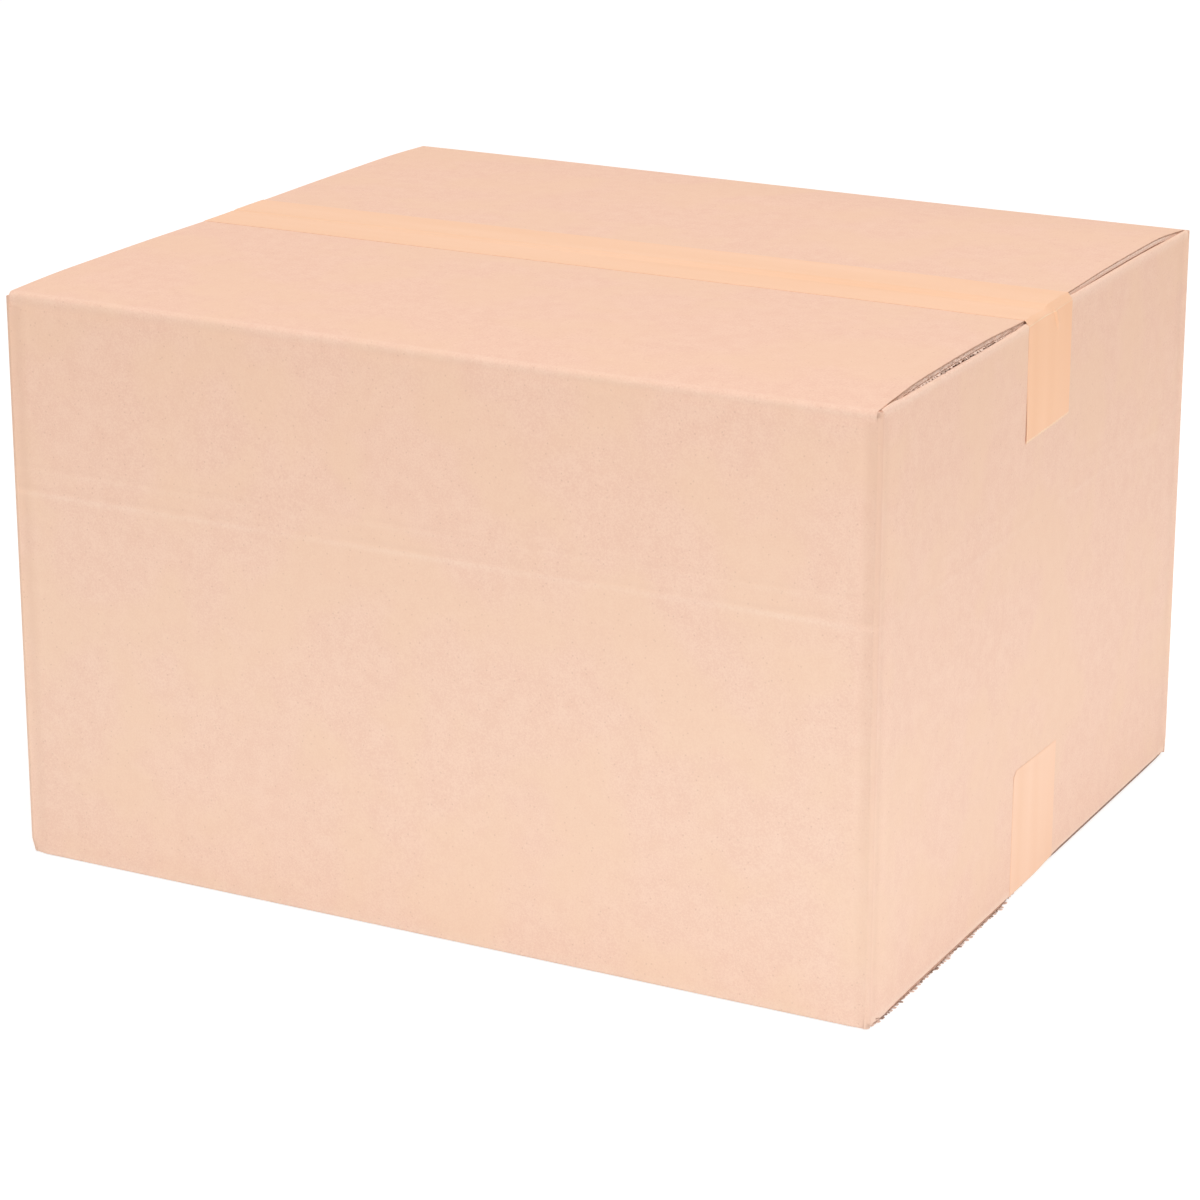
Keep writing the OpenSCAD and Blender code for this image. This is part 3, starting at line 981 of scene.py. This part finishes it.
def fringe_sheet(edge, share, way, longest, shade, seed):
    """A row of torn fibres along a liner's lip: flat-topped teeth of uneven length
    that point the given way. It returns the surface, its normals and its shade."""
    v, start = open_stretch(share, 0.3 * MM, edge)
    phase = 1 + (v - v[0] + 1.2 * MM * wander(v, seed, 19 * MM)) / FRINGE_TOOTH
    chance = np.random.default_rng(seed).uniform(0, 1, (2, 200))[:, phase.astype(int)]
    tooth = ramp(-np.abs(phase % 1 - 0.5), -0.34, -0.2)
    reach = 0.15 * MM + longest * (0.25 + 0.75 * chance[0]) * tooth
    points = start + (reach * np.linspace(0, 1, 4))[..., None] * way
    dark = np.broadcast_to(shade + 0.5 * (chance[1] > 0.75), points.shape[:2])
    return points, grid_normals(points), dark


medium_shell = Shell()
for number, (rim, share, inward, torn, slant) in enumerate(raw_edges):
    if torn < TORN[FRONT]:
        continue
    fringe = TOP_FRINGE if rim[0, 0, 2] > HALF_UP else LOW_FRINGE
    way = -inward + (0, 0, fringe["droop"])
    middle, normal, dark = fringe_sheet(rim[:, fringe["lip"]], share, way, fringe["longest"],
                                        fringe["shade"], 80 + number)
    medium_shell.sheet(middle, normal, FIBRE, FIBRE, wear=dark)
for number, edge in enumerate(raw_edges):
    middle, normal, split = medium_sheet(*edge, seed=60 + number)
    medium_shell.sheet(middle, normal, MEDIUM / 2, MEDIUM / 2, wear=split)
flute_medium = medium_shell.build("flute_medium", [medium_finish], weld=1e-7, sharp=60)
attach(flute_medium, "root")

# %% [markdown]
# ## The tape
# Each strip is one thin sheet carried along a path: up an end panel, round the
# roll of its fold, over the cut edge of the big flaps, along the seam and down
# the other end. Across its width it follows both flaps and bridges their step.
# Small lifts and wrinkles are added to the same grid.

# %% Tape path
TAPE_W = top_tape_high.y - top_tape_low.y
FLAP_END = LENGTH / 2 - CORNER_R
TAIL_ROWS = 60
SEAM_ROWS = 52
DISPENSER_TOOTH = 1.7 * MM
tape_y = spread(-TAPE_W / 2, TAPE_W / 2, 1.0 * MM, [(3.0 * MM, 7.5 * MM, 0.3 * MM),
                                                    (-TAPE_W / 2, 4 * MM, 0.5 * MM)])[None]


def seam_profile(y, lift, sag):
    """Height of the tape over the seam: it climbs to the higher flap and dips a
    little into the gap between them."""
    return lift * ramp(y, -4.5 * MM, 0.6 * MM) - sag * bell(y, -0.3 * MM, 1.2 * MM)


def half_path(level_at, crest, end_height, lift, crease=None, sign=1, r=MINOR_R):
    """Rows of X and Z from the cut end of a tail, up the end panel and over to the
    middle of the seam, and how far creases stand off. The straight stretch from the
    roll to the flap's edge is the tangent from that edge to the roll's circle."""
    face = LENGTH / 2
    level = level_at(FLAP_END)
    share = np.linspace(0, 1, TAIL_ROWS)[:, None]
    tail_z = end_height + share * (crest - r - end_height)
    tail_x = np.full_like(tail_z, face)
    dx, dz = FLAP_END - (face - r), level - (crest - r)
    turn = np.arctan2(dz, dx) - np.arccos(np.clip(r / np.hypot(dx, dz), -1, 1))
    angle = turn * np.linspace(0, 1, 9)[1:, None]
    arc_x, arc_z = face - r + r * np.cos(angle), crest - r + r * np.sin(angle)
    slope = np.linspace(0, 1, 6)[1:, None]
    slope_x = arc_x[-1] + slope * (FLAP_END - arc_x[-1])
    slope_z = arc_z[-1] + slope * (level - arc_z[-1])
    top_x = np.concatenate([FLAP_END - np.array([0.5, 1.2, 2.5]) * MM,
                            np.linspace(FLAP_END - 5 * MM, 0, SEAM_ROWS)])[:, None]
    top_z = np.broadcast_to(level_at(top_x), (len(top_x), tape_y.shape[1]))
    x = np.concatenate([tail_x, arc_x, slope_x, np.broadcast_to(top_x, top_z.shape)])
    z = np.concatenate([tail_z, arc_z, slope_z, top_z])
    x[:TAIL_ROWS] += lift(tape_y, sign * tail_z)
    middle = tape_y.shape[1] // 2
    run = np.cumsum(np.hypot(np.diff(x[:, middle]), np.diff(z[:, middle])))
    past = run[TAIL_ROWS] - np.append(0, run)[:, None]
    return x, z, crease(tape_y, past) if crease else np.zeros_like(x)


def joined_path(right, left):
    """Puts the right half behind the left one, as one run from tail to tail."""
    x = np.concatenate([-left[0], right[0][-2::-1]])
    z = np.concatenate([left[1], right[1][-2::-1]])
    y = np.broadcast_to(tape_y, x.shape)
    return np.stack([x, y, z], -1), np.concatenate([left[2], right[2][-2::-1]])


def cut_end(height, slant, teeth):
    """The torn end of a tail: a slight slant and the small teeth of a dispenser."""
    tooth = np.abs((tape_y / DISPENSER_TOOTH) % 2 - 1)
    return height + slant * tape_y / TAPE_W + teeth * tooth


print("points across the tape", tape_y.shape[1])


# %% [markdown]
# ## Wrinkles and lifted edges
# On the right end, the top tail's front edge has come away near its cut end and
# casts a thin shadow, and a short fold runs down from the roll. The left one has
# only a faint crease, and the bottom tails stand off slightly at their front
# corners. All of it is a distance out from the panel.

# %% Tail details
def tail_lift(panel, depth, start_y, fade):
    """How far a tail stands off, as a function of y and z: the panel's own relief, so
    it lies on the board, and depth more beyond start_y, as far along as fade says."""
    return lambda y, z: (panel_relief(panel, y * ALONG[panel][1], z)
                         + depth * ramp(-y, start_y, 25 * MM) * fade(z))


def top_fade(z):
    """From halfway down a top tail to its cut end."""
    return ramp(-z, -232 * MM, -208 * MM)


def low_fade(z):
    """Only by the cut end of a bottom tail."""
    return ramp(z, 48 * MM, 59 * MM)


def right_crease(y, past):
    """A short fold that starts on the roll, where the step between the flaps ends,
    and runs down and back. past is the distance down the tail from the roll."""
    groove = 2.6 * MM + 0.56 * past
    pleat = 1.0 * bell(y, groove + 1.4 * MM, 2.2 * MM) - 0.68 * bell(y, groove, 0.6 * MM)
    return pleat * MM * ramp(past, -2 * MM, 1 * MM) * ramp(-past, -11 * MM, -4 * MM)


def left_crease(y, past):
    """A fainter one on the left end."""
    ridge = bell(y, 5 * MM + 0.3 * past, 0.9 * MM)
    return 0.3 * MM * ridge * ramp(past, -3 * MM, 0) * ramp(-past, -14 * MM, -3 * MM)


print("wrinkle at the roll:", right_crease(np.array([4 * MM]), np.array([0.0])))


# %% [markdown]
# ## Building both strips
# The bottom strip is the same path turned over: its heights are measured down
# from the bottom of the box.

# %% Tape strips
TEETH = 0.35 * MM
ROUNDED = 2.2 * MM
GLUE_LINE = 0.02 * MM
SEAM_FINISH, TORN_AND_HIGHLIGHT_FINISH, TAIL_FINISH = range(3)


def strip(points, crease, name, node_name, finishes):
    """Lifts the creases, gives the path its thickness and makes the piece. The
    finishes are for the seam, the torn ends with the painted highlight on the roll,
    and the tails, which on the top strip are painted a shade deeper."""
    normal = grid_normals(points)
    middle_row = points.shape[0] // 2
    if normal[middle_row, 5, 2] * (1 if points[middle_row, 5, 2] > HALF_UP else -1) < 0:
        normal = -normal
    points = points + normal * crease[..., None]
    run = run_along(points[:, 0])[:, None]
    finish = np.full((len(run) - 1, 1), SEAM_FINISH)
    finish[:TAIL_ROWS] = finish[-TAIL_ROWS:] = TAIL_FINISH
    finish[[0, -1]] = TORN_AND_HIGHLIGHT_FINISH
    # Painted highlight: the rows where the tape bends over the roll take the pale torn-end
    # finish.
    finish[TAIL_ROWS + 1:TAIL_ROWS + 3] = finish[-TAIL_ROWS - 3:-TAIL_ROWS - 1] = TORN_AND_HIGHLIGHT_FINISH
    shell = Shell()
    shell.sheet(points, normal, TAPE, -GLUE_LINE, finish=finish, across=tape_y, wear=run)
    piece = shell.build(name, finishes, weld=1e-7, sharp=50)
    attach(piece, "root")
    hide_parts(node_name)


def top_level(side):
    """Level of the tape over the seam, at a distance towards one end."""
    return lambda x: SEAM_TOP - held(side * x) + seam_profile(
        tape_y, REAR_LIFT * spring(side * x), 0.3 * MM)


top_halves = [half_path(top_level(side), end_crest(tape_y),
                        cut_end(top_tape_low.z, slant, TEETH),
                        tail_lift(panel, peel, 22.5 * MM, top_fade), crease)
              for side, panel, slant, peel, crease in (
                  (1, RIGHT, 1.3 * MM, 0.35 * MM, right_crease),
                  (-1, LEFT, -0.8 * MM, 0.0, left_crease))]
strip(*joined_path(*top_halves), "top_tape_strip", "top_tape",
      [tape_finish, torn_end_and_highlight_finish, shaded_tail_finish])

low_level = -DISH + seam_profile(tape_y, 0.0, 0.1 * MM)
rounded = ROUNDED * ramp(-tape_y, 22 * MM, 25 * MM)
low_halves = [half_path(lambda x: low_level, low_end_crest(tape_y),
                        trim * rounded - cut_end(bottom_tape_high.z, slant, -TEETH),
                        tail_lift(panel, 0.12 * MM, 20 * MM, low_fade), sign=-1,
                        r=LOW_MINOR_R)
              for panel, slant, trim in ((RIGHT, -1.5 * MM, 1), (LEFT, 0.9 * MM, 0))]
low_points, low_crease = joined_path(*low_halves)
strip(low_points * (1, 1, -1), low_crease, "bottom_tape_strip", "bottom_tape",
      [tape_finish, low_tail_finish, low_tail_finish])

# %% [markdown]
# ## The floor
# The box stands on a pale floor that throws light back up. It shows white to the
# camera but keeps part of the box's shadow, so the box stands on something. A mix
# of a matt and a glowing surface does both.

# %% Floor
FLOOR_SIZE = 12.0
FLOOR_PAPER = "#F4F3F1"
FLOOR_GLOW = 1.3
SHADOW_SHARE = 0.4
WHITE = (1, 1, 1, 1)


def seen_directly(tree):
    """1 where the camera, a reflection or a see-through ray meets the surface."""
    path = add(tree, "LightPath").outputs
    seen = path["Is Camera Ray"]
    for ray in ("Is Glossy Ray", "Is Transmission Ray"):
        seen = add(tree, "Math", {0: seen, 1: path[ray]}, operation="MAXIMUM")
    return seen


floor_mesh = bpy.data.meshes.new("floor")
side = FLOOR_SIZE / 2
floor_mesh.from_pydata([(-side, -side, 0), (side, -side, 0), (side, side, 0), (-side, side, 0)],
                       [], [(0, 1, 2, 3)])
floor = add_object("floor", floor_mesh)
floor_finish, tree = new_material("studio_floor")
paper = add(tree, "BsdfDiffuse", {"Color": colour(FLOOR_PAPER)})
glow = add(tree, "Emission", {"Color": WHITE, "Strength": FLOOR_GLOW})
white_share = add(tree, "Math", {0: seen_directly(tree), 1: 1 - SHADOW_SHARE},
                  operation="MULTIPLY")
surface = add(tree, "MixShader", {0: white_share, 1: paper, 2: glow})
add(tree, "OutputMaterial", {"Surface": surface})
floor_mesh.materials.append(floor_finish)
print("floor", FLOOR_SIZE, "metres")

# %% [markdown]
# ## The light
# A product picture on white has light from all round: a bright even sky, broad
# soft lamps above, and two long low strips that light the foot of the box.

# %% Light
SKY_LIGHT = 0.41
SKY_COLOUR = "#FFE0C9"
LAMPS = {
    "top_lamp": dict(place=(0.3, -1.1, 6.0), aim=(0, 0, 0.26), size=(6.2, 6.2), power=257.0,
                     tint="#ECF7FF"),
    "key_lamp": dict(place=(2.0, -2.2, 2.7), aim=(0, 0, 0.15), size=(1.6, 1.6), power=32.0,
                     tint="#FFFDFB"),
    "front_strip": dict(place=(0.0, -0.42, 0.02), aim=(0, -0.17, 0.04), size=(1.3, 0.12),
                        power=0.604, tint="#B8EBFF"),
    "end_strip": dict(place=(0.45, 0.0, 0.02), aim=(0.2, 0, 0.04), size=(1.3, 0.12),
                      power=0.805, tint="#CBECFF"),
}


def soft_lamp(name, place, aim, size, power, tint):
    """A wide lamp that faces the aim and doesn't show itself."""
    data = bpy.data.lights.new(name, "AREA")
    data.shape = "RECTANGLE"
    data.size, data.size_y = size
    data.energy = power
    data.color = colour(tint)[:3]
    lamp = add_object(name, data)
    lamp.location = place
    way = mathutils.Vector(aim) - lamp.location
    lamp.rotation_euler = way.to_track_quat("-Z", "Y").to_euler()
    lamp.visible_camera = False


world = bpy.data.worlds.new("studio")
bpy.context.scene.world = world
world.use_nodes = True
tree = world.node_tree
tree.nodes.clear()
sky = add(tree, "Background", {"Color": colour(SKY_COLOUR), "Strength": SKY_LIGHT})
white = add(tree, "Background", {"Color": WHITE, "Strength": 1.0})
surface = add(tree, "MixShader", {0: seen_directly(tree), 1: sky, 2: white})
add(tree, "OutputWorld", {"Surface": surface})
for name, lamp in LAMPS.items():
    soft_lamp(name, **lamp)
bpy.context.scene.view_settings.view_transform = "Standard"
print("sky", SKY_LIGHT, "lamps", len(LAMPS))
